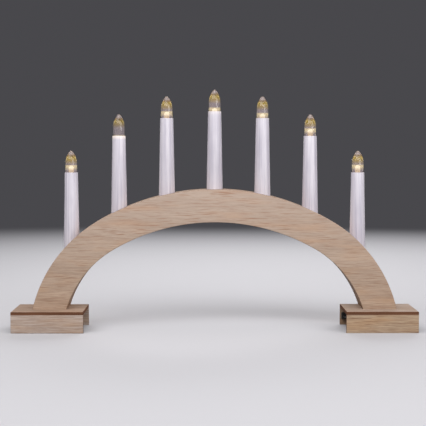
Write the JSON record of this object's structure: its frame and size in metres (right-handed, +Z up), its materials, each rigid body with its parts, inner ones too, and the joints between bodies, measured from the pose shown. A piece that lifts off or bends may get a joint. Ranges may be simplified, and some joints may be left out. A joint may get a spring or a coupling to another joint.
{
  "type": "candle arch",
  "caption": "Battery-lit wooden table arch on two channel feet, with a row of tapered plastic candles that have clear pointed tips over warm-white diodes.",
  "frame": {"origin": "on the table, under the middle of the arch's overall box", "axes": "+X along the arch towards the foot with the battery, +Y from the front to the rear, +Z up"},
  "size_m": [0.4, 0.06, 0.2396],
  "materials": {
    "veneered_board": "clear matt lacquer over pale veneer, brown core at the cut edges",
    "bent_strip": "pale bent plywood",
    "softwood": "sawn",
    "candle_plastic": "satin white",
    "holder_plastic": "moulded white",
    "led_epoxy": "clear warm-white epoxy, lit",
    "clear_plastic": "clear, polished",
    "black_plastic": "fine moulded texture",
    "switch_plastic": "moulded black",
    "cell_jacket": "plain printed jacket",
    "nickel_plate": "nickel plated",
    "zinc_steel": "zinc plated",
    "red_insulation": "soft insulation",
    "black_insulation": "soft insulation"
  },
  "bodies": {
    "arch": {"arch_front_panel": "veneered_board", "arch_rear_panel": "veneered_board", "arch_top_strip": "bent_strip", "arch_soffit_strip": "bent_strip", "leg_block_left": "softwood", "left_foot_top": "veneered_board", "left_foot_front": "veneered_board", "left_foot_rear": "veneered_board", "leg_block_right": "softwood", "right_foot_top": "veneered_board", "right_foot_front": "veneered_board", "right_foot_rear": "veneered_board", "leg_screws": "zinc_steel", "candle_seat_1": "softwood", "candle_tube_1": "candle_plastic", "led_holder_1": "holder_plastic", "led_1": "led_epoxy", "candle_tip_1": "clear_plastic", "candle_seat_2": "softwood", "candle_tube_2": "candle_plastic", "led_holder_2": "holder_plastic", "led_2": "led_epoxy", "candle_tip_2": "clear_plastic", "candle_seat_3": "softwood", "candle_tube_3": "candle_plastic", "led_holder_3": "holder_plastic", "led_3": "led_epoxy", "candle_tip_3": "clear_plastic", "candle_seat_4": "softwood", "candle_tube_4": "candle_plastic", "led_holder_4": "holder_plastic", "led_4": "led_epoxy", "candle_tip_4": "clear_plastic", "candle_seat_5": "softwood", "candle_tube_5": "candle_plastic", "led_holder_5": "holder_plastic", "led_5": "led_epoxy", "candle_tip_5": "clear_plastic", "candle_seat_6": "softwood", "candle_tube_6": "candle_plastic", "led_holder_6": "holder_plastic", "led_6": "led_epoxy", "candle_tip_6": "clear_plastic", "candle_seat_7": "softwood", "candle_tube_7": "candle_plastic", "led_holder_7": "holder_plastic", "led_7": "led_epoxy", "candle_tip_7": "clear_plastic", "battery_box": "black_plastic", "aa_cells": "cell_jacket", "contact_positive": "nickel_plate", "contact_negative": "nickel_plate", "contact_bridge": "nickel_plate", "switch_body": "switch_plastic", "wire_positive": "red_insulation", "wire_negative": "black_insulation", "wire_switch": "black_insulation"},
    "switch_knob": {"switch_knob": "switch_plastic"},
    "battery_cover": {"battery_cover": "black_plastic"}
  },
  "joints": [
    {"name": "switch_slide", "type": "slide", "parent": "arch", "child": "switch_knob", "axis": [-1, 0, 0], "range_m": [0, 0.003]},
    {"name": "cover_slide", "type": "slide", "parent": "arch", "child": "battery_cover", "axis": [1, 0, 0], "range_m": [0, 0.058]}
  ]
}
